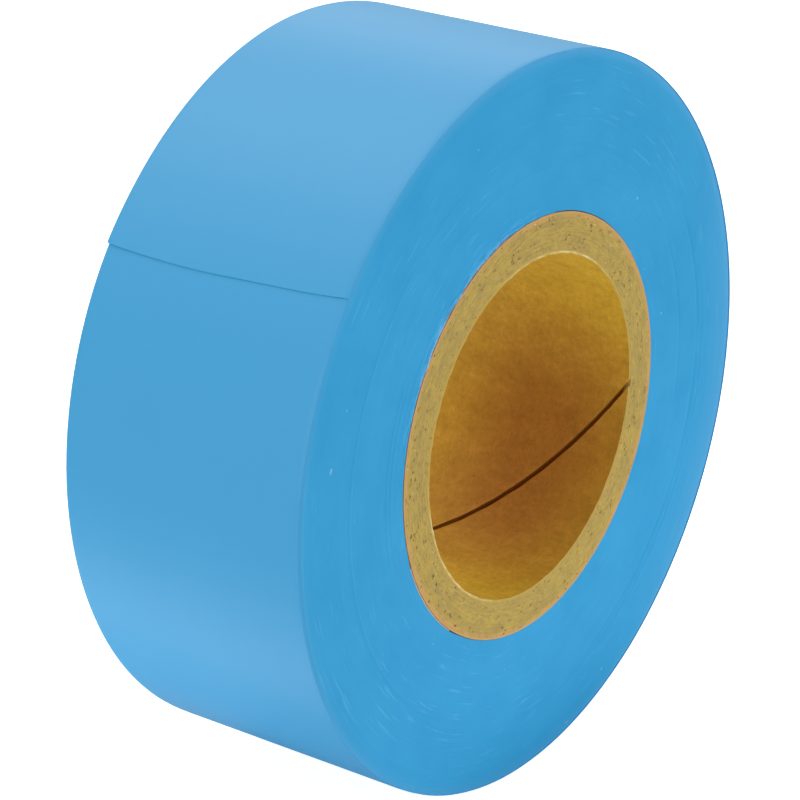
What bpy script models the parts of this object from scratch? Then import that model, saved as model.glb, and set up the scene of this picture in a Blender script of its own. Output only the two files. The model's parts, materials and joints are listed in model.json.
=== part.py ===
"""Roll of surveyor's marking film on a spiral-wound board core, as separate solids.

Frame: the origin is on the roll's axis at mid-width. +Y runs along the axis, away from the front face,
and +Z is up, so the roll stands on its rim. Angles round the roll are in degrees from +X towards +Z.

The film is one strip. Its free last part is a chain of short hinged sections, which stand in for the bending
of the film as it is lifted off the roll. Every pivot is an empty on its hinge's axis.
"""

import math

import bmesh
import bpy

MM = 0.001

# Film
FILM_WIDTH = 30.0 * MM
FILM_LENGTH = 50.0
FILM_THICKNESS = 0.07 * MM
FREE_END_ANGLE = 143.6
TAIL_SECTIONS = 12
SECTION_ANGLE = 5.0
LAP_FACETS = 144

# Core
BORE_RADIUS = 19.0 * MM
CORE_RADIUS = 23.4 * MM
LINER_THICKNESS = 0.35 * MM
FACE_THICKNESS = 0.25 * MM
BODY_PLIES = 8
PLY_FACETS = 72
WINDING_LEAD = 83.0 * MM
LINER_SEAM_ANGLE = -5.0
SEAM_STAGGER = 146.0
SEAM_WIDTH = 0.45 * MM

# Start tab, between the core and the film's first lap
TAB_THICKNESS = 0.1 * MM
TAB_FACETS = 6
TAB_FIRST_FACET = 40

# Clearances
GLUE_LINE = 0.03 * MM
LAP_GAP = 0.05 * MM
SECTION_GAP = 0.02 * MM
CUT_MARGIN = 0.3 * MM

# Colour, roughness
FILM_BLUE = ((0.13, 0.36, 0.66), 0.38)
KRAFT_GOLD = ((0.42, 0.24, 0.05), 0.80)
BOARD_GREY = ((0.42, 0.32, 0.13), 0.92)
KRAFT_BROWN = ((0.36, 0.17, 0.06), 0.80)
TAB_WHITE = ((0.75, 0.74, 0.70), 0.60)

HALF_WIDTH = FILM_WIDTH / 2
ROLL_RADIUS = math.sqrt(CORE_RADIUS**2 + FILM_LENGTH * FILM_THICKNESS / math.pi)
TAIL_ROOT_ANGLE = FREE_END_ANGLE - TAIL_SECTIONS * SECTION_ANGLE
PLY_STEP = 360.0 / PLY_FACETS


def clear_scene():
    for obj in list(bpy.data.objects):
        bpy.data.objects.remove(obj, do_unlink=True)


def new_collection(name):
    collection = bpy.data.collections.new(name)
    bpy.context.scene.collection.children.link(collection)
    return collection


def plain_material(name, colour_and_roughness):
    colour, roughness = colour_and_roughness
    material = bpy.data.materials.new(name)
    material.use_nodes = True
    shader = material.node_tree.nodes["Principled BSDF"]
    shader.inputs["Base Color"].default_value = (*colour, 1.0)
    shader.inputs["Roughness"].default_value = roughness
    shader.inputs["Metallic"].default_value = 0.0
    return material


def add_object(name, data, collection, parent, material=None):
    obj = bpy.data.objects.new(name, data)
    collection.objects.link(obj)
    obj.parent = parent
    if material:
        data.materials.append(material)
    return obj


def add_empty(name, collection, parent=None):
    empty = add_object(name, None, collection, parent)
    empty.empty_display_size = 5 * MM
    return empty


def polar(radius, degrees):
    angle = math.radians(degrees)
    return radius * math.cos(angle), radius * math.sin(angle)


def smooth_round(obj):
    obj.data.shade_smooth()
    obj.data.set_sharp_from_angle(angle=math.radians(35))


# Core


def turned_profile(name, corners):
    """A closed profile in the XZ plane, its corners listed down the outer side and back up the inner one."""
    mesh = bpy.data.meshes.new(name)
    bm = bmesh.new()
    points = [bm.verts.new((radius, 0.0, height)) for radius, height in corners]
    for point, following in zip(points, points[1:] + points[:1]):
        bm.edges.new((point, following))
    bm.to_mesh(mesh)
    bm.free()
    return mesh


def add_screw(obj, degrees, facets, lead=0.0):
    screw = obj.modifiers.new("turn", "SCREW")
    screw.axis = "Z"
    screw.angle = math.radians(degrees)
    screw.screw_offset = lead * degrees / 360.0
    screw.steps = facets
    screw.render_steps = facets
    screw.use_merge_vertices = degrees == 360.0
    screw.merge_threshold = 0.00001
    return screw


def seam_cutter(name, inner, outer, seam_angle, collection, parent):
    """A helical blade through one ply, longer than the core at both ends.

    The seam it cuts is at seam_angle on the front face.
    """
    turn = 360.0 * FILM_WIDTH / WINDING_LEAD
    facets = math.ceil(turn / PLY_STEP) + 2
    half = SEAM_WIDTH / 2
    low, high = inner - CUT_MARGIN, outer + CUT_MARGIN
    profile = turned_profile(name, [(high, half), (high, -half), (low, -half), (low, half)])
    cutter = add_object(name, profile, collection, parent)
    # The blade climbs local +Z, which is towards the front face, and starts one facet behind the rear face.
    cutter.location.z = -HALF_WIDTH - WINDING_LEAD * PLY_STEP / 360.0
    cutter.rotation_euler.z = math.radians(seam_angle - turn - PLY_STEP)
    add_screw(cutter, facets * PLY_STEP, facets, WINDING_LEAD)
    cutter.hide_render = True
    cutter.display_type = "WIRE"
    return cutter


def add_ply(name, inner, outer, seam_angle, material, parts, cutters, parent):
    """One wound strip of the core: a tube with the butt seam of its helix cut through it."""
    corners = [(outer, HALF_WIDTH), (outer, -HALF_WIDTH), (inner, -HALF_WIDTH), (inner, HALF_WIDTH)]
    ply = add_object(name, turned_profile(name, corners), parts, parent, material)
    add_screw(ply, 360.0, PLY_FACETS)
    cut = ply.modifiers.new("seam", "BOOLEAN")
    cut.operation = "DIFFERENCE"
    cut.solver = "EXACT"
    cut.object = seam_cutter(name + "_seam_cutter", inner, outer, seam_angle, cutters, parent)
    smooth_round(ply)
    return ply


def ply_layers():
    """Name, inner radius, outer radius and material of each ply, from the bore outwards."""
    body_span = CORE_RADIUS - BORE_RADIUS - LINER_THICKNESS - FACE_THICKNESS
    body_thickness = body_span / BODY_PLIES - GLUE_LINE
    layers = [("core_liner_ply", LINER_THICKNESS - GLUE_LINE, "kraft_gold")]
    layers += [(f"core_body_ply_{i + 1}", body_thickness, "board_grey") for i in range(BODY_PLIES)]
    layers += [("core_face_ply", FACE_THICKNESS, "kraft_brown")]
    inner = BORE_RADIUS
    for name, thickness, material in layers:
        yield name, inner, inner + thickness, material
        inner += thickness + GLUE_LINE


def build_core(parts, cutters, parent, materials):
    for i, (name, inner, outer, material) in enumerate(ply_layers()):
        seam_angle = LINER_SEAM_ANGLE + i * SEAM_STAGGER
        add_ply(name, inner, outer, seam_angle, materials[material], parts, cutters, parent)


# Film


def flat_outline(name, loops):
    """A flat outline across the roll, filled between its closed loops and as wide as the film."""
    curve = bpy.data.curves.new(name, "CURVE")
    curve.dimensions = "2D"
    curve.fill_mode = "BOTH"
    curve.extrude = HALF_WIDTH
    for loop in loops:
        spline = curve.splines.new("POLY")
        spline.points.add(len(loop) - 1)
        for point, (x, y) in zip(spline.points, loop):
            point.co = (x, y, 0.0, 1.0)
        spline.use_cyclic_u = True
    return curve


def add_outline_solid(name, loops, material, parts, parent):
    """The outline as a closed mesh, its caps welded to its sides."""
    guide = add_object(name + "_outline", flat_outline(name, loops), parts, parent)
    bpy.context.view_layer.update()
    evaluated = guide.evaluated_get(bpy.context.evaluated_depsgraph_get())
    mesh = bpy.data.meshes.new_from_object(evaluated)
    mesh.name = name
    bm = bmesh.new()
    bm.from_mesh(mesh)
    bmesh.ops.remove_doubles(bm, verts=bm.verts, dist=0.000001)
    bm.to_mesh(mesh)
    bm.free()
    solid = add_object(name, mesh, parts, parent, material)
    bpy.data.objects.remove(guide, do_unlink=True)
    smooth_round(solid)
    return solid


def pack_radius(lap_angle):
    """Outer radius of the wound film, lap_angle on from the tail's root. A whole lap adds one film."""
    return ROLL_RADIUS - FILM_THICKNESS * (1.0 - lap_angle / 360.0)


def pack_outline():
    step = 360.0 / LAP_FACETS
    return [
        polar(pack_radius(i * step), TAIL_ROOT_ANGLE + i * step)
        for i in range(LAP_FACETS + 1)
    ]


def tab_span():
    """First and last grid angle of the start tab."""
    first = TAB_FIRST_FACET * PLY_STEP
    return first, first + TAB_FACETS * PLY_STEP


def pack_hole():
    """The inner lap's outline, lifted over the start tab."""
    first, last = tab_span()
    close = CORE_RADIUS + GLUE_LINE
    lifted = close + TAB_THICKNESS + GLUE_LINE
    points = []
    for i in range(PLY_FACETS):
        angle = i * PLY_STEP
        if angle == first:
            points += [polar(close, angle), polar(lifted, angle)]
        elif angle == last:
            points += [polar(lifted, angle), polar(close, angle)]
        else:
            points.append(polar(lifted if first < angle < last else close, angle))
    return points


def build_pack(parts, parent, material):
    add_outline_solid("film_pack", [pack_outline(), pack_hole()], material, parts, parent)


def build_tab(parts, parent, material):
    first, last = tab_span()
    inner = CORE_RADIUS + GLUE_LINE
    clearance = math.degrees(2 * GLUE_LINE / CORE_RADIUS)
    angles = [first + clearance]
    angles += [first + i * PLY_STEP for i in range(1, TAB_FACETS)]
    angles += [last - clearance]
    outline = [polar(inner + TAB_THICKNESS, angle) for angle in angles]
    outline += [polar(inner, angle) for angle in reversed(angles)]
    add_outline_solid("core_start_tab", [outline], material, parts, parent)


def hinge_place(number):
    """Angle and radius of a tail hinge. It is on the film's outer surface, so lifting opens the inside."""
    lap_angle = number * SECTION_ANGLE
    return TAIL_ROOT_ANGLE + lap_angle, pack_radius(lap_angle) + LAP_GAP + FILM_THICKNESS


def section_outline(number):
    """One section of the tail in its hinge's frame: x is outwards and y is towards the free end."""
    hinge_angle, hinge_radius = hinge_place(number)
    gap_angle = math.degrees(SECTION_GAP / 2 / ROLL_RADIUS)
    inner, outer = [], []
    for angle in (gap_angle, SECTION_ANGLE / 2, SECTION_ANGLE - gap_angle):
        radius = pack_radius(hinge_angle - TAIL_ROOT_ANGLE + angle) + LAP_GAP
        for side, surface in ((inner, radius), (outer, radius + FILM_THICKNESS)):
            x, y = polar(surface, angle)
            side.append((x - hinge_radius, y))
    return outer + inner[::-1]


def build_tail(parts, parent, material):
    """A chain of sections, each hinge empty a child of the one before it."""
    pivot, pivot_angle, pivot_xy = parent, 0.0, (0.0, 0.0)
    for number in range(TAIL_SECTIONS):
        angle, radius = hinge_place(number)
        x, y = polar(radius, angle)
        along = math.radians(-pivot_angle)
        dx, dy = x - pivot_xy[0], y - pivot_xy[1]
        hinge = add_empty(f"tail_hinge_{number + 1:02d}", parts, pivot)
        hinge.location.x = dx * math.cos(along) - dy * math.sin(along)
        hinge.location.y = dx * math.sin(along) + dy * math.cos(along)
        hinge.rotation_euler.z = math.radians(angle - pivot_angle)
        name = f"film_tail_{number + 1:02d}"
        add_outline_solid(name, [section_outline(number)], material, parts, hinge)
        pivot, pivot_angle, pivot_xy = hinge, angle, (x, y)


def main():
    clear_scene()
    parts = new_collection("marking_film_roll")
    cutters = new_collection("seam_cutters")
    # The pieces are drawn with the roll's axis along local Z. This empty lays that axis along -Y.
    roll_axis = add_empty("roll_axis", parts)
    roll_axis.rotation_euler.x = math.radians(90)
    materials = {
        "kraft_gold": plain_material("kraft_gold", KRAFT_GOLD),
        "board_grey": plain_material("board_grey", BOARD_GREY),
        "kraft_brown": plain_material("kraft_brown", KRAFT_BROWN),
    }
    film_blue = plain_material("film_blue", FILM_BLUE)
    build_core(parts, cutters, roll_axis, materials)
    build_tab(parts, roll_axis, plain_material("tab_white", TAB_WHITE))
    build_pack(parts, roll_axis, film_blue)
    build_tail(parts, roll_axis, film_blue)


main()
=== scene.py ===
import json
import math
import random

import bpy
from mathutils import Matrix, Vector, noise

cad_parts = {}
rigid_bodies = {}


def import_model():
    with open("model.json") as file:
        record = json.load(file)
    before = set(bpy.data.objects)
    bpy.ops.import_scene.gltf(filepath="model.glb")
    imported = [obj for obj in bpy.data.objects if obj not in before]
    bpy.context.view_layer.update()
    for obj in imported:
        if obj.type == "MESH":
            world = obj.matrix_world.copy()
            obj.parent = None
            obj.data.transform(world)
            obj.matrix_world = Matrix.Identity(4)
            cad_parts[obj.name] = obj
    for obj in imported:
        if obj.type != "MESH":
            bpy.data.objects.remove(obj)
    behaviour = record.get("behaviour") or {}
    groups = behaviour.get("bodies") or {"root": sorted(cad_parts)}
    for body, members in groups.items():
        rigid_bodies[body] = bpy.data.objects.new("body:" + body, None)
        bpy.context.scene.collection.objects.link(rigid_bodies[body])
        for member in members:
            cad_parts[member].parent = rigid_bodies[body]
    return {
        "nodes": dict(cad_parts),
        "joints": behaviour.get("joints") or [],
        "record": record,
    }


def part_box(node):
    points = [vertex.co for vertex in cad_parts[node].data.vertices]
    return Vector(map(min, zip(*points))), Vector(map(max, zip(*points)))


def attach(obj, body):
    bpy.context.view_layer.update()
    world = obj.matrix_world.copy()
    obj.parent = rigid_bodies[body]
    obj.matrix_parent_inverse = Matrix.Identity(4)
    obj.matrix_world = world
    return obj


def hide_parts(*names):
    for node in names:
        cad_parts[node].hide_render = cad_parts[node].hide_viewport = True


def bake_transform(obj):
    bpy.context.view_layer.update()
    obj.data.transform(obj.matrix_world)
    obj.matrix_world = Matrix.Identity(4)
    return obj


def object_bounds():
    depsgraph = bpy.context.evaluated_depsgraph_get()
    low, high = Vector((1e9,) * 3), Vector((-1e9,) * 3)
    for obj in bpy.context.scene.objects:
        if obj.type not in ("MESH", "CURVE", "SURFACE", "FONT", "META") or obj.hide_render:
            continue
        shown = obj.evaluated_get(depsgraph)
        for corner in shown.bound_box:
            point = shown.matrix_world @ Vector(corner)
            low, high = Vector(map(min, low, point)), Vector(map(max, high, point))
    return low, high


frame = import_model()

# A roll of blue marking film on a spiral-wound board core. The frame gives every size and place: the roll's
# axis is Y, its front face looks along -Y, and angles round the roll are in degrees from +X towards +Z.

cad_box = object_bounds()

MM = 0.001
# A point this close to the core's end lies on it
TOUCHING = 0.001 * MM

# Fineness of the film's mesh: columns round the roll and along a tail section, rows across the width
LAP_COLUMNS = 180
SECTION_COLUMNS = 8
FACE_ROWS = 34
ROW_CROWDING = 1.8

# The wound film: its rounded rim, the fall of its side towards the rim, and its first laps on the core. An
# angle is in degrees, and a reach is how far in from the rim, or out from the core, a change goes.
EDGE_ROUNDING = 0.07 * MM
EDGE_REACH = 0.5 * MM
EDGE_STEEPNESS = 2.2
EDGE_LAPS = 12
FACE_WAVE = 0.010 * MM
SIDE_WAVE = 0.012 * MM
SIDE_INSET = 0.02 * MM
LAP_JITTER = 0.0006 * MM
RIM_FALL = 0.20 * MM
RIM_FALL_REACH = 0.9 * MM
# Within this reach of the rim the side is painted paler as painted sheen, and it shines more
RIM_SHEEN_REACH = 2.4 * MM
# A painted sheen: paler colour within this reach of the rim, on the side facing this angle
PAINTED_SHEEN_REACH = 6.0 * MM
PAINTED_SHEEN_ANGLE = -12.0
CORE_CLEARANCE = 0.02 * MM
START_DIP = 0.03 * MM
START_DIP_REACH = 0.18 * MM
CRINKLE_HEIGHT = 0.14 * MM
CRINKLE_REACH = 1.3 * MM
CRINKLE_ANGLE = 128.0
CRINKLE_SPAN = 48.0
TAB_LAPS = 30
TAB_RAMP_ANGLE = 6.0

# The film's free end: how far it lifts, and the cut across it, whose reach past the CAD's, bow and dent are
# in degrees. The crest, where the cut reaches furthest, is a share of half the width.
TAIL_ROOT_SPAN = 15.0
FREE_END_LIFT = 0.14 * MM
FREE_END_LIFT_SPAN = 16.0
FREE_END_FRONT_LIFT = 0.35
FREE_END_REACH = 0.62
FREE_END_BOW = 0.97
FREE_END_CREST = 0.3
FREE_END_DENT = 0.24
FREE_END_DENT_PLACE = -4.0 * MM
FREE_END_DENT_WIDTH = 6.0 * MM

# Short scuffs, and rings that stand out of the film's side or are sunk in it. A ring has a share of the way
# out from the core to the rim, a height, a width, a first angle and a last angle.
SCUFFS = 60
SCUFF_HEIGHT = 0.030 * MM
SIDE_RINGS = (
    (0.069, 0.040 * MM, 0.25 * MM, 85, 168),
    (0.127, 0.040 * MM, 0.20 * MM, 150, 192),
    (0.167, 0.045 * MM, 0.20 * MM, 148, 194),
    (0.300, 0.040 * MM, 0.22 * MM, 78, 124),
    (0.351, -0.055 * MM, 0.20 * MM, 350, 386),
    (0.524, 0.050 * MM, 0.22 * MM, 112, 228),
    (0.576, -0.070 * MM, 0.22 * MM, 290, 386),
    (0.656, 0.045 * MM, 0.25 * MM, 286, 370),
    (0.968, 0.035 * MM, 0.20 * MM, 166, 206),
)
SIDE_RING_FADE = 16.0

# Fineness of the core's mesh
PLY_COLUMNS = 300
PLY_ROWS = 34
PLY_END_STEP = 0.12 * MM
LINER_ROWS = 150

# The core's plies. A seam turns once round the core in each winding lead, and a ply's seam lies a stagger of
# so many degrees round from the last one's. The bore has painted shade, darker and browner, round one place
# deep inside, and its rim is paler at two.
CORE_PROUD = 0.03 * MM
WINDING_LEAD = 83.0 * MM
LINER_SEAM_ANGLE = -4.0
SEAM_STAGGER = 146.0
LINER_SEAM_WIDTH = 0.78 * MM
LINER_SEAM_FRONT = 0.7
LINER_SEAM_WIDENING = 0.5
BODY_SEAM_WIDTH = 0.05 * MM
SEAM_RAGGEDNESS = 0.16 * MM
SEAM_LIP = 0.09 * MM
SEAM_LIP_ANGLE = 1.2
SEAM_END_DIP = 0.03 * MM
LINER_GRAIN = 0.010 * MM
LINER_BURR = 0.15 * MM
END_FUZZ = 0.035 * MM
PAINTED_SHADE_ANGLE = -40.0
PAINTED_SHADE_PLACE = -5.0 * MM
PALE_RIM_ANGLES = (76.0, 216.0)

# The start tab
TAB_COLUMNS = 30
TAB_ROWS = 60
TAB_INSET = 0.06 * MM
TAB_CREASE = 0.008 * MM

# Camera: where it stands, its lens, and where its aim passes the roll's centre
VIEW_AZIMUTH = -53.88
VIEW_ELEVATION = 22.93
VIEW_DISTANCE = 0.35507
VIEW_LENS = 146.93
AIM_RIGHT = -0.00202
AIM_UP = -0.00054

# Soft lights: direction from the roll, tightness, strength
STUDIO_LIGHTS = (
    ((0.0, 0.0, 1.0), 4.0, 0.50),
    ((0.05, 0.55, 0.84), 20.0, 3.38),
    ((0.57, 0.54, 0.62), 20.0, 0.75),
    ((-0.51, 0.54, 0.66), 14.0, 1.60),
    ((0.74, 0.54, 0.39), 20.0, 1.76),
    ((0.6, -0.8, 0.2), 6.0, 3.25),
    ((-0.9, 0.03, 0.03), 12.0, 4.35),
)
# Lit cards lying on the floor: place, size, watts
FLOOR_CARDS = (
    ((-0.053, 0.032), (0.026, 0.080), 0.006),
    ((0.010, -0.055), (0.080, 0.060), 0.0095),
    ((0.012, 0.085), (0.075, 0.090), 0.050),
)
# The floor's own glow, what the camera sees on top of it, and the share taken off it in the film's sheen
FLOOR_GLOW = 0.205
FLOOR_WHITENING = 0.70
FLOOR_DULLING = 0.7
FLOOR_ALBEDO = 0.60
FLOOR_SIZE = 3.0


# Measures taken from the frame


def radii(node):
    """Inner and outer radius of a CAD node round the roll's axis."""
    found = [math.hypot(v.co.x, v.co.z) for v in frame["nodes"][node].data.vertices]
    return min(found), max(found)


def hinge_angle(joint):
    x, _, z = joint["pos_m"]
    return math.degrees(math.atan2(z, x))


HALF_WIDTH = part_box("film_pack")[1].y
CORE_NODES = sorted((n for n in frame["nodes"] if "_ply" in n), key=lambda n: radii(n)[0])
CORE_RADIUS = radii(CORE_NODES[-1])[1]
ROLL_RADIUS = radii("film_pack")[1]
TAIL_LOW, TAIL_HIGH = radii("film_tail_01")
FILM_THICKNESS = TAIL_HIGH - TAIL_LOW
ROOT_ANGLE = hinge_angle(frame["joints"][0])
SECTION_ANGLE = hinge_angle(frame["joints"][1]) - ROOT_ANGLE
SECTIONS = len(frame["joints"])
TAIL_END = SECTIONS * SECTION_ANGLE
TAIL_GAP = TAIL_HIGH - ROLL_RADIUS
LAPS = round((ROLL_RADIUS - CORE_RADIUS) / FILM_THICKNESS) - 1
SPIRAL_POINTS = (LAPS + 1) * LAP_COLUMNS + 1
NOISE_RADIUS = 0.6 * ROLL_RADIUS


def smooth(t):
    t = max(0.0, min(1.0, t))
    return t * t * (3 - 2 * t)


def round_point(radius, degrees, y):
    angle = math.radians(degrees)
    return (radius * math.cos(angle), y, radius * math.sin(angle))


def round_noise(radius, degrees, y, around, along, seed=0.0):
    """Noise on a cylinder: `around` and `along` are its spots per millimetre."""
    angle = math.radians(degrees)
    reach = radius / MM * around
    place = (reach * math.cos(angle) + seed, reach * math.sin(angle), y / MM * along)
    return noise.noise(Vector(place))


# Meshes


def new_piece(name, points, faces, materials, face_slots=None):
    """A smooth-shaded object. face_slots says which of the materials each face has."""
    mesh = bpy.data.meshes.new(name)
    mesh.from_pydata(points, [], faces)
    for material in materials:
        mesh.materials.append(material)
    if face_slots:
        mesh.polygons.foreach_set("material_index", face_slots)
    mesh.shade_smooth()
    mesh.set_sharp_from_angle(angle=math.radians(40))
    mesh.update()
    obj = bpy.data.objects.new(name, mesh)
    bpy.context.scene.collection.objects.link(obj)
    return obj


def sweep_loops(loops):
    """Points and faces of a skin over a row of like loops, open at both ends, and the size of a loop."""
    size = len(loops[0])
    points = [p for loop in loops for p in loop]
    faces = []
    for j in range(len(loops) - 1):
        for k in range(size):
            a, b = j * size + k, j * size + (k + 1) % size
            faces.append((a, b, b + size, a + size))
    return points, faces, size


def cap_ladder(first, size, flip):
    """Quads across an end loop whose points run along one side and back along the other."""
    quads = []
    for k in range(size // 2 - 1):
        quad = (first + k, first + k + 1, first + size - 2 - k, first + size - 1 - k)
        quads.append(quad[::-1] if flip else quad)
    return quads


# Film


def column_angle(j):
    """The angle of the wound film's column j. Column 0 is where the tail leaves the roll."""
    return ROOT_ANGLE - SECTION_ANGLE / 2 + 360.0 * j / LAP_COLUMNS


def pack_radius(lap_angle):
    """The wound film's outer surface, lap_angle degrees past the tail's root."""
    return ROLL_RADIUS - FILM_THICKNESS * (1.0 - lap_angle / 360.0)


def face_rows():
    """Places across the film's width, closer together near both edges."""
    rows = []
    for k in range(FACE_ROWS + 1):
        t = 2.0 * k / FACE_ROWS - 1.0
        rows.append(HALF_WIDTH * math.copysign(1 - (1 - abs(t)) ** ROW_CROWDING, t))
    return rows


def edge_drop(degrees, y):
    """How far the film's edge is drawn in towards the axis, next to either rim."""
    inset = (HALF_WIDTH - abs(y)) / EDGE_REACH
    wave = 1.0 + 0.5 * round_noise(ROLL_RADIUS, degrees, math.copysign(HALF_WIDTH, y), 0.12, 1.0)
    return EDGE_ROUNDING * wave * math.exp(-EDGE_STEEPNESS * inset)


def face_wave(degrees, y):
    """Slow undulation of the wound film's face."""
    return FACE_WAVE * round_noise(ROLL_RADIUS, degrees, y, 0.05, 0.16, 3.0)


def ring_strength(degrees, first, last):
    """One within a ring's angles, and fading to nothing past either end."""
    away = abs((degrees - (first + last) / 2 + 180.0) % 360.0 - 180.0) - (last - first) / 2
    return 1 - smooth(away / SIDE_RING_FADE + 0.5)


def crinkle(depth, seed):
    """Ripples of the film's first laps, column by column, at a depth of wound film."""
    height = CRINKLE_HEIGHT * max(0.0, 1 - depth / CRINKLE_REACH)
    ripples = []
    for j in range(LAP_COLUMNS):
        degrees = column_angle(j)
        strength = ring_strength(
            degrees, CRINKLE_ANGLE - CRINKLE_SPAN / 2, CRINKLE_ANGLE + CRINKLE_SPAN / 2
        )
        ripple = round_noise(CORE_RADIUS, degrees, depth, 0.55, 0.8, 50.0 + seed)
        ripples.append(height * strength * ripple)
    return ripples


def side_relief(seed):
    """How far each lap's edge stands out of the film's side, column by column."""
    rng = random.Random(seed)
    relief = []
    for i in range(LAPS + 3):
        depth = i * FILM_THICKNESS
        base = -START_DIP * math.exp(-depth / START_DIP_REACH) + rng.gauss(0.0, LAP_JITTER)
        base -= RIM_FALL * math.exp(-max(0, LAPS - i) * FILM_THICKNESS / RIM_FALL_REACH)
        row = [base + ripple for ripple in crinkle(depth, seed)]
        for share, height, width, first, last in SIDE_RINGS:
            away = (i / LAPS - share) * (ROLL_RADIUS - CORE_RADIUS)
            ring = height * math.exp(-((away / width) ** 2))
            for j in range(LAP_COLUMNS):
                row[j] += ring * ring_strength(column_angle(j), first, last)
        relief.append(row)
    for _ in range(SCUFFS):
        lap = int(LAPS * rng.random() ** 1.3)
        first = rng.randrange(LAP_COLUMNS)
        length = rng.randint(2, 7)
        height = rng.choice((-1, 1)) * rng.uniform(0.5, 1.0) * SCUFF_HEIGHT
        for k in range(length + 1):
            column = (first + k) % LAP_COLUMNS
            relief[lap][column] += height * math.sin(math.pi * k / length)
    return relief


def tab_angles():
    """First and last angle of the start tab."""
    spots = [v.co for v in frame["nodes"]["core_start_tab"].data.vertices]
    angles = [math.degrees(math.atan2(spot.z, spot.x)) % 360.0 for spot in spots]
    return min(angles), max(angles)


def tab_lift(degrees):
    """How far the first laps are lifted where they pass over the start tab."""
    low, high = tab_angles()
    away = abs((degrees - (low + high) / 2 + 180.0) % 360.0 - 180.0)
    inner, outer = radii("core_start_tab")
    return (outer - inner) * (1 - smooth((away - (high - low) / 2) / TAB_RAMP_ANGLE))


def lap_point(step, side, relief, lifts):
    """A point of the spiral that the film's edge makes on one side, so many steps out from the core."""
    lap, column = divmod(step, LAP_COLUMNS)
    share = column / LAP_COLUMNS
    degrees = column_angle(column)
    inner = CORE_RADIUS + CORE_CLEARANCE
    pitch = (pack_radius(-SECTION_ANGLE / 2) - inner) / LAPS
    radius = inner + pitch * (lap + share) + lifts[column] * max(0.0, 1 - lap / TAB_LAPS)
    out = relief[lap][column] * (1 - share) + relief[lap + 1][column] * share
    out += SIDE_WAVE * round_noise(radius, degrees, side * 9.0 * MM, 0.06, 1.0, 11.0)
    near_rim = smooth((lap + share - LAPS + EDGE_LAPS) / EDGE_LAPS)
    radius -= edge_drop(degrees, side * HALF_WIDTH) * near_rim
    return round_point(radius, degrees, side * (HALF_WIDTH - SIDE_INSET + out))


def face_point(column, y):
    """A point of the roll's outer face."""
    degrees = column_angle(column)
    radius = pack_radius(degrees - ROOT_ANGLE)
    radius += face_wave(degrees, y) - edge_drop(degrees, y)
    return round_point(radius, degrees, y)


def pack_sides():
    """Points and faces of the roll's two sides, each one spiral of quads: first the front, then the rear."""
    lifts = [tab_lift(column_angle(j)) for j in range(LAP_COLUMNS)]
    points, faces = [], []
    for side in (-1, 1):
        relief = side_relief(7 + side)
        first = len(points)
        points += [lap_point(step, side, relief, lifts) for step in range(SPIRAL_POINTS)]
        for a in range(first, first + LAPS * LAP_COLUMNS):
            quad = (a, a + 1, a + 1 + LAP_COLUMNS, a + LAP_COLUMNS)
            faces.append(quad if side > 0 else quad[::-1])
    return points, faces


def pack_piece(name, side_material, face_material):
    """The wound film: its two sides, its outer face, the step under the tail's root and its inner face."""
    points, sides = pack_sides()
    rear = SPIRAL_POINTS
    last_lap = LAPS * LAP_COLUMNS
    grid = []
    for j in range(LAP_COLUMNS + 1):
        column = [last_lap + j]
        for y in face_rows()[1:-1]:
            column.append(len(points))
            points.append(face_point(j, y))
        column.append(rear + last_lap + j)
        grid.append(column)
    outer = []
    for this, following in zip(grid, grid[1:]):
        for k in range(FACE_ROWS):
            outer.append((this[k], following[k], following[k + 1], this[k + 1]))
    for k in range(FACE_ROWS):
        outer.append((grid[0][k], grid[0][k + 1], grid[-1][k + 1], grid[-1][k]))
    inner = [(j, rear + j, rear + j + 1, j + 1) for j in range(LAP_COLUMNS)]
    inner.append((0, LAP_COLUMNS, rear + LAP_COLUMNS, rear))
    slots = [0] * len(sides) + [1] * len(outer) + [0] * len(inner)
    return new_piece(name, points, sides + outer + inner, [side_material, face_material], slots)


def tail_gap(lap_angle, y):
    """Gap under the tail: none at its root, the CAD's gap further on, more under the end's rear corner."""
    gap = TAIL_GAP * smooth(lap_angle / TAIL_ROOT_SPAN)
    near_end = smooth((lap_angle - TAIL_END + FREE_END_LIFT_SPAN) / FREE_END_LIFT_SPAN) ** 2
    rear = (y + HALF_WIDTH) / (2 * HALF_WIDTH)
    return gap + FREE_END_LIFT * near_end * (FREE_END_FRONT_LIFT + (1 - FREE_END_FRONT_LIFT) * rear**4)


def free_end(y):
    """The cut across the film's end: a shallow bow that falls back most at the front edge, with a dent."""
    away = y / HALF_WIDTH - FREE_END_CREST
    dent = FREE_END_DENT * math.exp(-(((y - FREE_END_DENT_PLACE) / FREE_END_DENT_WIDTH) ** 2))
    return TAIL_END + FREE_END_REACH - FREE_END_BOW * away**2 - dent


def tail_loop(share, low_angle, high_angle):
    """The film's cross-section, a share of the way from a low angle to a high one, or to the cut if that is
    None. It runs out along the film's outer surface and back along its inner one."""
    rows = face_rows()
    outer, inner = [], []
    for y in rows:
        top = free_end(y) if high_angle is None else high_angle
        lap_angle = low_angle + (top - low_angle) * share
        degrees = ROOT_ANGLE + lap_angle
        base = pack_radius(lap_angle) + tail_gap(lap_angle, y) + face_wave(degrees, y)
        base -= edge_drop(degrees, y)
        outer.append(round_point(base + FILM_THICKNESS, degrees, y))
        inner.append(round_point(base, degrees, y))
    return outer + inner[::-1]


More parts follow.
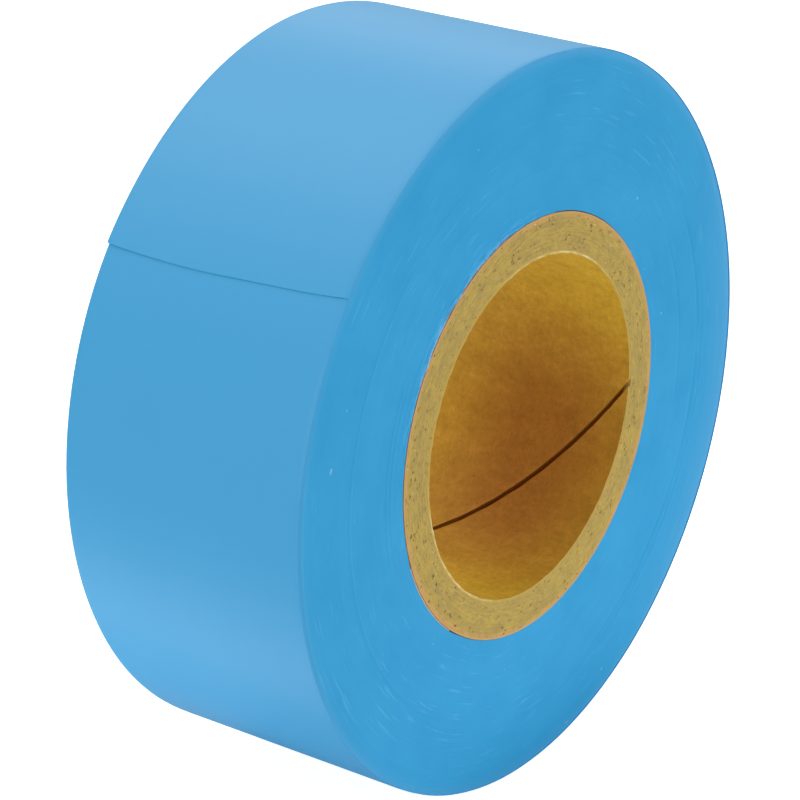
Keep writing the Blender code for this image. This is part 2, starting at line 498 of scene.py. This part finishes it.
def tail_piece(name, low_angle, high_angle, materials):
    """A stretch of the tail. The last of the materials is for its far end."""
    loops = [
        tail_loop(j / SECTION_COLUMNS, low_angle, high_angle) for j in range(SECTION_COLUMNS + 1)
    ]
    points, faces, size = sweep_loops(loops)
    faces = [f[::-1] for f in faces]
    last = (len(loops) - 1) * size
    faces += cap_ladder(0, size, False)
    end = cap_ladder(last, size, True)
    slots = [0] * len(faces) + [len(materials) - 1] * len(end)
    return new_piece(name, points, faces + end, materials, slots)


def build_tail(face, cut):
    """The film's free end: a fixed piece for each section in place of its CAD part, and a last piece that
    rides on the last body.
    """
    bodies = [frame["joints"][0]["parent"]] + [joint["child"] for joint in frame["joints"]]
    for number in range(SECTIONS):
        low = (number - 0.5) * SECTION_ANGLE
        piece = tail_piece(f"tail_bend_{number + 1:02d}", low, low + SECTION_ANGLE, [face])
        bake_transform(piece)
        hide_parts(f"film_tail_{number + 1:02d}")
    end_piece = tail_piece("tail_free_end", (SECTIONS - 0.5) * SECTION_ANGLE, None, [face, cut])
    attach(end_piece, bodies[-1])
    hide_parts(f"film_tail_{SECTIONS:02d}")


# Core


def seam_angle(number, y):
    """Where a ply's seam lies at a place along the axis."""
    turn = (y + HALF_WIDTH) / WINDING_LEAD
    return LINER_SEAM_ANGLE + number * SEAM_STAGGER - 360.0 * turn


def seam_edges(number, y):
    """Where a strip's two torn edges lie, in degrees round from the middle of its seam."""
    rear = (y + HALF_WIDTH) / (2 * HALF_WIDTH)
    width = BODY_SEAM_WIDTH
    if number == 0:
        width = LINER_SEAM_WIDTH * (LINER_SEAM_FRONT + LINER_SEAM_WIDENING * rear)
    edges = []
    for side in (0.0, 40.0):
        tear = noise.fractal(Vector((y / MM * 0.9, side, number)), 1.0, 2.0, 4)
        edges.append((width / 2 + SEAM_RAGGEDNESS * tear * (number == 0)) * 360.0 / WINDING_LEAD)
    return edges[0], 360.0 - edges[1]


def ply_loop(number, inner, outer, share, rows):
    """A ply's cross-section, a share of the way round from its seam: through its bore, across its rear end,
    back over its outside and across its front end."""
    near_seam = math.exp(-min(share, 1 - share) * 360.0 / SEAM_LIP_ANGLE)
    steps = max(3, round((outer - inner) / PLY_END_STEP))
    loop = []

    def put(radius, y):
        first, last = seam_edges(number, y)
        degrees = seam_angle(number, y) + first + (last - first) * share
        if HALF_WIDTH - abs(y) < TOUCHING:
            grain = round_noise(radius, degrees, radius * 3.0, 1.1, 1.6, number * 5.0)
            y = math.copysign(HALF_WIDTH + CORE_PROUD - SEAM_END_DIP * near_seam + END_FUZZ * grain, y)
            if radius == inner and number == 0:
                radius -= LINER_BURR * abs(round_noise(radius, degrees, y, 0.9, 0.0, 40.0))
        elif radius == inner and number == 0:
            grain = round_noise(radius, degrees, y, 1.6, 2.2, number * 5.0)
            radius += LINER_GRAIN * grain - SEAM_LIP * near_seam
        loop.append(round_point(radius, degrees, y))

    for k in range(rows + 1):
        put(inner, -HALF_WIDTH + 2 * HALF_WIDTH * k / rows)
    for k in range(1, steps):
        put(inner + (outer - inner) * k / steps, HALF_WIDTH)
    for k in range(PLY_ROWS + 1):
        put(outer, HALF_WIDTH - 2 * HALF_WIDTH * k / PLY_ROWS)
    for k in range(1, steps):
        put(outer - (outer - inner) * k / steps, -HALF_WIDTH)
    return loop


def ply_piece(node, number, material):
    """One wound strip of the core, with its two helical edges a seam's width apart."""
    inner, outer = radii(node)
    rows = LINER_ROWS if number == 0 else PLY_ROWS
    loops = [ply_loop(number, inner, outer, j / PLY_COLUMNS, rows) for j in range(PLY_COLUMNS + 1)]
    points, faces, size = sweep_loops(loops)
    last = (len(loops) - 1) * size
    faces.append(tuple(range(size))[::-1])
    faces.append(tuple(range(last, last + size)))
    faces = [f[::-1] for f in faces]
    return new_piece(node.replace("core_", "wound_"), points, faces, [material])


def tab_piece(material):
    """The start tab: a paper strip that stops short of both faces of the roll."""
    inner, outer = radii("core_start_tab")
    low, high = tab_angles()
    loops = []
    for j in range(TAB_COLUMNS + 1):
        degrees = low + (high - low) * j / TAB_COLUMNS
        side = []
        for k in range(TAB_ROWS + 1):
            side.append((HALF_WIDTH - TAB_INSET) * (2.0 * k / TAB_ROWS - 1.0))
        crease = [TAB_CREASE * noise.noise(Vector((degrees * 0.9, y / MM * 2.0, 0.0))) for y in side]
        top = [round_point(outer + c, degrees, y) for c, y in zip(crease, side)]
        under = [round_point(inner + c, degrees, y) for c, y in zip(crease, side)]
        loops.append(top + under[::-1])
    points, faces, size = sweep_loops(loops)
    faces = [f[::-1] for f in faces]
    last = (len(loops) - 1) * size
    faces += cap_ladder(0, size, False) + cap_ladder(last, size, True)
    return new_piece("start_tab_strip", points, faces, [material])


def build_core(materials):
    tab = tab_piece(materials["tab_white"])
    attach(tab, "roll")
    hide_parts("core_start_tab")
    for number, node in enumerate(CORE_NODES):
        slot = next(s["material_slot"] for s in frame["record"]["subparts"] if s["node"] == node)
        piece = ply_piece(node, number, materials[slot])
        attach(piece, "roll")
        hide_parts(node)


# Materials


class Shader:
    """A material and short ways of adding the nodes that it is made of."""

    def __init__(self, name):
        self.material = bpy.data.materials.new(name)
        self.material.use_nodes = True
        self.tree = self.material.node_tree
        self.bsdf = self.tree.nodes["Principled BSDF"]
        self.place = self.add("ShaderNodeTexCoord").outputs["Object"]
        split = self.add("ShaderNodeSeparateXYZ", {"Vector": self.place})
        self.x, self.y, self.z = split.outputs
        flat = self.add("ShaderNodeCombineXYZ", {"X": self.x, "Y": self.z})
        length = self.add("ShaderNodeVectorMath", {0: flat.outputs[0]}, operation="LENGTH")
        self.radius = length.outputs["Value"]
        unit = self.add("ShaderNodeVectorMath", {0: flat.outputs[0]}, operation="NORMALIZE")
        split = self.add("ShaderNodeSeparateXYZ", {"Vector": unit.outputs["Vector"]})
        self.cos, self.sin, _ = split.outputs

    def add(self, kind, inputs=None, **settings):
        node = self.tree.nodes.new(kind)
        for key, value in settings.items():
            setattr(node, key, value)
        for key, value in (inputs or {}).items():
            self.set(node.inputs[key], value)
        return node

    def set(self, socket, value):
        if isinstance(value, bpy.types.NodeSocket):
            self.tree.links.new(value, socket)
        else:
            socket.default_value = value

    def math(self, operation, a, b=0.0, c=0.0):
        return self.add("ShaderNodeMath", {0: a, 1: b, 2: c}, operation=operation).outputs[0]

    def reach(self, value, start, end):
        """How far value has come from start to end, from zero to one."""
        return self.add(
            "ShaderNodeMapRange", {"Value": value, "From Min": start, "From Max": end}
        ).outputs["Result"]

    def facing(self, degrees):
        """Cosine of the angle round the axis between here and a given direction."""
        angle = math.radians(degrees)
        across = self.math("MULTIPLY", self.cos, math.cos(angle))
        return self.math("MULTIPLY_ADD", self.sin, math.sin(angle), across)

    def round_noise(self, around=0.0, along=0.0, outward=0.0, detail=2.0, roughness=0.5, seed=0.0):
        """Noise with no join: so many spots per millimetre round the roll at NOISE_RADIUS, along its axis
        and out from it."""
        reach = around * NOISE_RADIUS / MM
        vector = self.add(
            "ShaderNodeCombineXYZ",
            {
                "X": self.math("MULTIPLY", self.cos, reach),
                "Y": self.math("MULTIPLY", self.sin, reach),
                "Z": self.math("MULTIPLY", self.y, along / MM),
            },
        )
        w = self.math("MULTIPLY_ADD", self.radius, outward / MM, seed)
        node = self.add(
            "ShaderNodeTexNoise",
            {"Vector": vector.outputs[0], "W": w, "Scale": 1.0, "Detail": detail, "Roughness": roughness},
            noise_dimensions="4D",
        )
        return node.outputs[0]

    def ramp(self, value, *stops):
        """A colour ramp through (position, colour) stops; a colour may be one grey value."""
        node = self.add("ShaderNodeValToRGB", {0: value})
        while len(node.color_ramp.elements) < len(stops):
            node.color_ramp.elements.new(1.0)
        for element, (position, colour) in zip(node.color_ramp.elements, stops):
            grey = isinstance(colour, (int, float))
            element.position = position
            element.color = (colour,) * 3 + (1.0,) if grey else (*colour, 1.0)
        return node.outputs[0]

    def mix(self, factor, a, b, blend_type="MIX"):
        node = self.add("ShaderNodeMix", {0: factor}, data_type="RGBA", blend_type=blend_type)
        for socket, value in ((node.inputs[6], a), (node.inputs[7], b)):
            self.set(socket, (*value, 1.0) if isinstance(value, tuple) else value)
        return node.outputs[2]

    def bump(self, height, distance, strength=1.0, normal=None):
        inputs = {"Height": height, "Distance": distance, "Strength": strength}
        if normal is not None:
            inputs["Normal"] = normal
        return self.add("ShaderNodeBump", inputs).outputs[0]

    def finish(self, colour, roughness, normal, **others):
        self.set(self.bsdf.inputs["Base Color"], colour)
        self.set(self.bsdf.inputs["Roughness"], roughness)
        self.set(self.bsdf.inputs["Normal"], normal)
        for key, value in others.items():
            self.set(self.bsdf.inputs[key.replace("_", " ")], value)
        return self.material


# Colours, as linear red, green and blue
FILM_DEEP = (0.036, 0.356, 0.688)
FILM_LIGHT = (0.044, 0.378, 0.716)
CUT_DEEP = (0.001, 0.16, 0.37)
CUT_LIGHT = (0.002, 0.24, 0.50)
# Painted light: the cut glows teal, lifting the shade under the film's free end
CUT_PAINTED_GLOW = (0.0, 0.55, 0.50, 1.0)
# The side's colours are a darker copy of the face's: painted shade between the laps
SIDE_DEEP = (0.028, 0.344, 0.678)
SIDE_LIGHT = (0.038, 0.376, 0.720)
SIDE_DASH = (0.10, 0.45, 0.78)
SIDE_FLECK = (0.30, 0.58, 0.82)
# Painted light on the side: a painted sheen on its right, a painted sheen at the rim, and the crinkled
# start's painted shade, painted highlight and pale painted highlight by the core
SIDE_PAINTED_SHEEN = (0.075, 0.375, 0.70)
SIDE_RIM_PAINTED_SHEEN = (0.066, 0.400, 0.735)
STROKE_PAINTED_SHADE = (0.018, 0.20, 0.46)
STROKE_PAINTED_HIGHLIGHT = (0.12, 0.52, 0.88)
CRINKLE_PAINTED_HIGHLIGHT = (0.56, 0.62, 0.80)
KRAFT_DEEP = (0.585, 0.363, 0.026)
KRAFT_LIGHT = (0.725, 0.476, 0.043)
KRAFT_SPECK = (0.20, 0.085, 0.02)
# Painted shade deep in the bore
KRAFT_PAINTED_SHADE = (0.72, 0.50, 0.95)
KRAFT_CUT = (0.47, 0.34, 0.09)
# The liner's cut rim is paler at two places round the bore
KRAFT_PALE_RIM = (0.80, 0.69, 0.36)
# Partly glue, partly painted shade along the liner's seam
SEAM_GLUE_AND_SHADE = (0.25, 0.083, 0.006)
BOARD_DEEP = (0.43, 0.315, 0.100)
BOARD_LIGHT = (0.54, 0.385, 0.098)
BOARD_SKIN = (0.66, 0.36, 0.14)
BOARD_SPECK = (0.13, 0.085, 0.035)
BOARD_PALE = (0.80, 0.70, 0.36)
# Painted shade at the bottom of the liner's seam
BOARD_SEAM_PAINTED_SHADE = (0.21, 0.058, 0.004)
FACE_PLY_DEEP = (0.60, 0.25, 0.10)
FACE_PLY_LIGHT = (0.76, 0.38, 0.18)
FACE_PLY_INSIDE = (0.52, 0.37, 0.115)
TAB_DEEP = (0.66, 0.42, 0.24)
TAB_LIGHT = (0.80, 0.56, 0.34)


def film_face_material():
    """The film's broad face: satin soft plastic with faint lengthwise drawing lines and a fine grain."""
    s = Shader("film_face")
    clouds = s.round_noise(around=0.03, along=0.05)
    lines = s.round_noise(around=0.01, along=2.4, detail=3.0, roughness=0.6, seed=4.0)
    grain = s.round_noise(around=4.0, along=4.0, roughness=0.6, seed=9.0)
    colour = s.mix(clouds, FILM_DEEP, FILM_LIGHT)
    rough = s.math("MULTIPLY_ADD", lines, 0.10, 0.40)
    normal = s.bump(lines, 0.004 * MM, 0.5)
    normal = s.bump(grain, 0.003 * MM, 0.5, normal)
    return s.finish(colour, rough, normal, IOR=1.5)


def film_cut_material():
    """The straight cut across the film's end, deep teal, with a painted teal glow: an emission that stands
    in for light coming through the film's own blue into the shade under the lifted end.
    """
    s = Shader("film_cut")
    grain = s.round_noise(around=3.0, along=3.0, roughness=0.6, seed=9.0)
    colour = s.mix(grain, CUT_DEEP, CUT_LIGHT)
    normal = s.bump(grain, 0.003 * MM, 0.5)
    return s.finish(colour, 0.5, normal, Emission_Color=CUT_PAINTED_GLOW, Emission_Strength=1.0)


def film_side_material():
    """The film's stacked edges, painted a shade darker than its face: clouds, pale dashes and flecks, a
    crinkled start with painted highlights and painted shade, and painted sheen near the rim and towards its
    right.
    """
    s = Shader("film_side")
    laps = s.round_noise(around=0.02, outward=9.0, roughness=0.6)
    clouds = s.round_noise(around=0.16, outward=0.16, detail=3.0, roughness=0.6, seed=5.0)
    patches = s.round_noise(around=0.05, outward=0.08, detail=1.0, seed=31.0)
    dashes = s.round_noise(around=0.30, outward=2.6, seed=8.0)
    flecks = s.round_noise(around=0.9, outward=1.4, detail=1.0, seed=15.0)
    crinkles = s.round_noise(around=1.7, outward=1.0, roughness=0.6, seed=23.0)
    strokes = s.round_noise(around=0.45, outward=4.5, roughness=0.55, seed=37.0)
    colour = s.mix(s.ramp(clouds, (0.32, 0.0), (0.68, 1.0)), SIDE_DEEP, SIDE_LIGHT)
    # The lap lines vary the tone lap by lap and darken the side a little, partly as painted shade between
    # the laps
    colour = s.mix(1.0, colour, s.ramp(laps, (0.25, 0.93), (0.75, 0.99)), "MULTIPLY")
    dash = s.ramp(dashes, (0.60, 0.0), (0.70, 1.0))
    dash = s.math("MULTIPLY", dash, s.ramp(patches, (0.4, 0.0), (0.6, 1.0)))
    colour = s.mix(s.math("MULTIPLY", dash, 0.45), colour, SIDE_DASH)
    colour = s.mix(s.ramp(flecks, (0.76, 0.0), (0.80, 0.7)), colour, SIDE_FLECK)
    # Painted sheen: the side is painted paler near the rim on its right, where the light catches it
    painted_sheen = s.reach(s.radius, ROLL_RADIUS - PAINTED_SHEEN_REACH, ROLL_RADIUS)
    painted_sheen = s.math("MULTIPLY", painted_sheen, s.ramp(s.facing(PAINTED_SHEEN_ANGLE), (0.70, 0.0), (0.95, 0.8)))
    colour = s.mix(painted_sheen, colour, SIDE_PAINTED_SHEEN)
    # Painted sheen: the side is painted paler towards the rim, and the same ramp raises its real shine
    near_rim = s.reach(s.radius, ROLL_RADIUS - RIM_SHEEN_REACH, ROLL_RADIUS)
    near_rim = s.math("POWER", near_rim, 3.6)
    colour = s.mix(near_rim, colour, SIDE_RIM_PAINTED_SHEEN)
    # Painted shade and painted highlights on the crinkled first laps, on the side facing the light: dark
    # strokes of painted shade, light strokes and a pale edge by the core of painted highlight
    start = s.reach(s.radius, CORE_RADIUS + CRINKLE_REACH, CORE_RADIUS)
    start = s.math("MULTIPLY", start, s.ramp(s.facing(CRINKLE_ANGLE), (0.72, 0.0), (0.93, 1.0)))
    dark = s.math("MULTIPLY", start, s.ramp(strokes, (0.52, 0.0), (0.58, 0.9)))
    colour = s.mix(dark, colour, STROKE_PAINTED_SHADE)
    light = s.math("MULTIPLY", start, s.ramp(strokes, (0.40, 0.9), (0.46, 0.0)))
    colour = s.mix(light, colour, STROKE_PAINTED_HIGHLIGHT)
    start = s.math("MULTIPLY", s.math("POWER", start, 7.0), s.ramp(crinkles, (0.40, 0.15), (0.62, 1.0)))
    colour = s.mix(start, colour, CRINKLE_PAINTED_HIGHLIGHT)
    shine = s.math("MULTIPLY_ADD", near_rim, 0.28, 0.1)
    normal = s.bump(laps, 0.004 * MM, 0.5)
    normal = s.bump(dash, 0.016 * MM, 0.6, normal)
    normal = s.bump(start, 0.10 * MM, 0.5, normal)
    return s.finish(colour, 0.52, normal, Specular_IOR_Level=shine)


def seam_distance(s):
    """How far round the bore a spot is from the middle of the liner's seam."""
    turn = s.math("MULTIPLY_ADD", s.y, 2 * math.pi / WINDING_LEAD, -math.radians(seam_angle(0, 0.0)))
    angle = s.math("ADD", s.math("ARCTAN2", s.z, s.x), turn)
    chord = s.math("ABSOLUTE", s.math("SINE", s.math("MULTIPLY", angle, 0.5)))
    return s.math("MULTIPLY", chord, 2 * radii(CORE_NODES[0])[0])


def kraft_material():
    """The liner: smooth golden kraft paper with painted shade, darker and browner, deep in the bore, and
    dark red-brown along its seam, partly glue and partly painted shade in the seam's gap.
    """
    s = Shader("kraft_liner")
    clouds = s.round_noise(around=0.35, along=0.30, detail=3.0, roughness=0.6)
    mottle = s.round_noise(around=1.1, along=1.3, detail=4.0, roughness=0.65, seed=17.0)
    fibres = s.round_noise(around=0.9, along=4.5, detail=3.0, roughness=0.65, seed=4.0)
    specks = s.round_noise(around=2.6, along=3.4, roughness=0.6, seed=9.0)
    torn = s.round_noise(around=0.5, outward=2.0, roughness=0.6, seed=27.0)
    colour = s.mix(s.ramp(clouds, (0.3, 0.0), (0.7, 1.0)), KRAFT_DEEP, KRAFT_LIGHT)
    colour = s.mix(1.0, colour, s.ramp(fibres, (0.3, 0.92), (0.7, 1.05)), "MULTIPLY")
    colour = s.mix(1.0, colour, s.ramp(mottle, (0.3, 0.84), (0.7, 1.10)), "MULTIPLY")
    colour = s.mix(s.ramp(specks, (0.62, 0.0), (0.74, 0.5)), colour, KRAFT_SPECK)
    # Painted shade: the bore is darker and browner low on its right and deep inside, away from its ends
    away = s.math("ABSOLUTE", s.math("SUBTRACT", s.y, PAINTED_SHADE_PLACE))
    brown = s.ramp(s.facing(PAINTED_SHADE_ANGLE), (0.45, 0.0), (0.95, 1.0))
    brown = s.math("MULTIPLY", brown, s.ramp(s.math("DIVIDE", away, HALF_WIDTH), (0.20, 1.0), (0.90, 0.40)))
    colour = s.mix(brown, colour, KRAFT_PAINTED_SHADE, "MULTIPLY")
    # Along the liner's seam it is painted dark red-brown: partly glue, partly painted shade in the seam's
    # gap
    narrowing = s.math("MULTIPLY_ADD", s.y, 0.3 / HALF_WIDTH, 0.9)
    glue_and_shade = s.math("DIVIDE", seam_distance(s), narrowing)
    glue_and_shade = s.ramp(s.math("MULTIPLY", glue_and_shade, 0.5 / MM), (0.22, 1.0), (0.40, 0.0))
    colour = s.mix(glue_and_shade, colour, SEAM_GLUE_AND_SHADE)
    cut = s.reach(s.math("ABSOLUTE", s.y), HALF_WIDTH - 0.05 * MM, HALF_WIDTH + 0.06 * MM)
    colour = s.mix(cut, colour, KRAFT_CUT)
    # The liner's cut rim is painted paler at two places round the bore
    pale_places = s.math("MAXIMUM", *[s.facing(angle) for angle in PALE_RIM_ANGLES])
    cut = s.math("MULTIPLY", cut, s.ramp(pale_places, (0.80, 0.0), (0.95, 1.0)))
    cut = s.math("MULTIPLY", cut, s.ramp(torn, (0.40, 0.1), (0.60, 1.0)))
    inside = radii(CORE_NODES[0])[0]
    cut = s.math("MULTIPLY", cut, s.reach(s.radius, inside + 0.24 * MM, inside + 0.10 * MM))
    colour = s.mix(cut, colour, KRAFT_PALE_RIM)
    normal = s.bump(fibres, 0.03 * MM, 0.5)
    normal = s.bump(clouds, 0.05 * MM, 0.4, normal)
    return s.finish(colour, 0.72, normal, Specular_IOR_Level=0.2)


def board_material():
    """The body plies: grey board whose cut edge is speckled and browner next to the face ply; inside, where
    it shows at the bottom of the liner's seam, it is painted dark red-brown as painted shade.
    """
    s = Shader("board_plies")
    fibres = s.round_noise(around=1.0, along=2.0, outward=4.0, detail=3.0, roughness=0.7)
    dark = s.round_noise(around=1.5, along=1.5, outward=2.6, detail=3.0, roughness=0.6, seed=7.0)
    pale = s.round_noise(around=1.2, along=3.0, outward=3.6, roughness=0.6, seed=13.0)
    clouds = s.round_noise(around=0.45, along=0.5, outward=0.9, seed=21.0)
    colour = s.mix(s.ramp(clouds, (0.3, 0.0), (0.7, 1.0)), BOARD_DEEP, BOARD_LIGHT)
    colour = s.mix(1.0, colour, s.ramp(fibres, (0.25, 0.80), (0.75, 1.14)), "MULTIPLY")
    skin = s.reach(s.radius, CORE_RADIUS - 0.85 * MM, CORE_RADIUS - 0.35 * MM)
    skin = s.math("MULTIPLY", skin, s.ramp(clouds, (0.35, 0.3), (0.6, 0.75)))
    colour = s.mix(skin, colour, BOARD_SKIN)
    colour = s.mix(s.ramp(dark, (0.59, 0.0), (0.68, 0.85)), colour, BOARD_SPECK)
    colour = s.mix(s.ramp(pale, (0.65, 0.0), (0.76, 0.7)), colour, BOARD_PALE)
    # Painted shade: away from the ends, where the board shows only at the bottom of the liner's seam, it is
    # painted dark red-brown
    seam_shade = s.reach(s.math("ABSOLUTE", s.y), HALF_WIDTH - 0.4 * MM, HALF_WIDTH - 0.9 * MM)
    colour = s.mix(seam_shade, colour, BOARD_SEAM_PAINTED_SHADE)
    normal = s.bump(fibres, 0.05 * MM, 0.9)
    normal = s.bump(dark, 0.06 * MM, 0.6, normal)
    return s.finish(colour, 0.92, normal, Specular_IOR_Level=0.1)


def face_ply_material():
    """The outermost ply: a thin orange-brown strip."""
    s = Shader("kraft_face")
    fibres = s.round_noise(around=1.0, along=1.5, outward=5.0, detail=3.0, roughness=0.6)
    flecks = s.round_noise(around=1.1, along=1.0, outward=3.0, roughness=0.6, seed=19.0)
    colour = s.mix(s.ramp(fibres, (0.3, 0.0), (0.7, 1.0)), FACE_PLY_DEEP, FACE_PLY_LIGHT)
    inner = s.reach(s.radius, CORE_RADIUS - 0.07 * MM, CORE_RADIUS - 0.14 * MM)
    inner = s.math("MAXIMUM", inner, s.ramp(flecks, (0.52, 0.0), (0.60, 0.8)))
    colour = s.mix(inner, colour, FACE_PLY_INSIDE)
    return s.finish(colour, 0.85, s.bump(fibres, 0.03 * MM, 0.7), IOR=1.35)


def tab_material():
    """Crepe paper for the hidden start tab."""
    s = Shader("start_tab_paper")
    creases = s.round_noise(around=0.4, along=3.0, detail=3.0, roughness=0.6)
    colour = s.mix(creases, TAB_DEEP, TAB_LIGHT)
    return s.finish(colour, 0.8, s.bump(creases, 0.05 * MM, 0.7))


def floor_material():
    """White card. It is brighter to the camera than it is to the roll, and duller in the film's sheen."""
    material = bpy.data.materials.new("floor_white")
    material.use_nodes = True
    shader = material.node_tree.nodes["Principled BSDF"]
    shader.inputs["Base Color"].default_value = (FLOOR_ALBEDO, FLOOR_ALBEDO, FLOOR_ALBEDO, 1.0)
    shader.inputs["Roughness"].default_value = 0.9
    shader.inputs["Specular IOR Level"].default_value = 0.1
    shader.inputs["Emission Color"].default_value = (1.0, 1.0, 1.0, 1.0)
    tree = material.node_tree
    path = tree.nodes.new("ShaderNodeLightPath")
    glow = None
    for ray, change in (("Is Camera Ray", FLOOR_WHITENING), ("Is Glossy Ray", -FLOOR_DULLING * FLOOR_GLOW)):
        step = tree.nodes.new("ShaderNodeMath")
        step.operation = "MULTIPLY_ADD"
        step.inputs[1].default_value = change
        step.inputs[2].default_value = FLOOR_GLOW
        tree.links.new(path.outputs[ray], step.inputs[0])
        if glow is not None:
            tree.links.new(glow, step.inputs[2])
        glow = step.outputs[0]
    tree.links.new(glow, shader.inputs["Emission Strength"])
    return material


# Studio


def build_floor():
    size = FLOOR_SIZE
    points = [(-size, -size, 0), (size, -size, 0), (size, size, 0), (-size, size, 0)]
    floor = new_piece("floor", points, [(0, 1, 2, 3)], [floor_material()])
    floor.location.z = cad_box[0].z - 0.02 * MM


def build_world():
    """Soft light from STUDIO_LIGHTS, each a round patch of sky that fades towards its edge, and a white
    backdrop that only the camera sees."""
    world = bpy.data.worlds.new("studio")
    world.use_nodes = True
    bpy.context.scene.world = world
    tree = world.node_tree
    place = tree.nodes.new("ShaderNodeTexCoord").outputs["Generated"]
    total = tree.nodes.new("ShaderNodeLightPath").outputs["Is Camera Ray"]
    for direction, tightness, strength in STUDIO_LIGHTS:
        dot = tree.nodes.new("ShaderNodeVectorMath")
        dot.operation = "DOT_PRODUCT"
        dot.inputs[1].default_value = Vector(direction).normalized()
        tree.links.new(place, dot.inputs[0])
        patch = dot.outputs["Value"]
        for operation, value in (("MAXIMUM", 0.0), ("POWER", tightness), ("MULTIPLY", strength)):
            step = tree.nodes.new("ShaderNodeMath")
            step.operation = operation
            step.inputs[1].default_value = value
            tree.links.new(patch, step.inputs[0])
            patch = step.outputs[0]
        adder = tree.nodes.new("ShaderNodeMath")
        tree.links.new(total, adder.inputs[0])
        tree.links.new(patch, adder.inputs[1])
        total = adder.outputs[0]
    tree.links.new(total, tree.nodes["Background"].inputs["Color"])


def add_floor_cards():
    """Lit cards beside, in front of and behind the roll, which throw light up at it and up into its bore."""
    for place, size, watts in FLOOR_CARDS:
        light = bpy.data.lights.new("floor_card", "AREA")
        light.shape = "RECTANGLE"
        light.size, light.size_y = size
        light.energy = watts
        card = bpy.data.objects.new("floor_card", light)
        bpy.context.scene.collection.objects.link(card)
        card.location = (*place, cad_box[0].z + 0.5 * MM)
        card.rotation_euler.x = math.pi
        card.visible_camera = False


def direction_from(azimuth, elevation):
    """Unit vector from the roll towards a viewer. Azimuth 0 looks along +Y, and 90 along -X."""
    a, e = math.radians(azimuth), math.radians(elevation)
    return Vector((math.sin(a) * math.cos(e), -math.cos(a) * math.cos(e), math.sin(e)))


def build_camera():
    data = bpy.data.cameras.new("camera")
    data.lens = VIEW_LENS
    data.sensor_width = 36.0
    data.clip_start, data.clip_end = 0.01, 20.0
    camera = bpy.data.objects.new("camera", data)
    bpy.context.scene.collection.objects.link(camera)
    back = direction_from(VIEW_AZIMUTH, VIEW_ELEVATION)
    right = Vector((0, 0, 1)).cross(back).normalized()
    up = back.cross(right)
    camera.location = back * VIEW_DISTANCE + right * AIM_RIGHT + up * AIM_UP
    camera.rotation_euler = Matrix((right, up, back)).transposed().to_euler()
    bpy.context.scene.camera = camera


def build_studio():
    build_floor()
    build_world()
    add_floor_cards()
    build_camera()
    bpy.context.scene.view_settings.view_transform = "Standard"


# Build


def build_roll():
    face, side = film_face_material(), film_side_material()
    pack = pack_piece("film_laps", side, face)
    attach(pack, "roll")
    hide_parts("film_pack")
    build_tail(face, film_cut_material())
    build_core(
        {
            "kraft_gold": kraft_material(),
            "board_grey": board_material(),
            "kraft_brown": face_ply_material(),
            "tab_white": tab_material(),
        }
    )


build_roll()
build_studio()
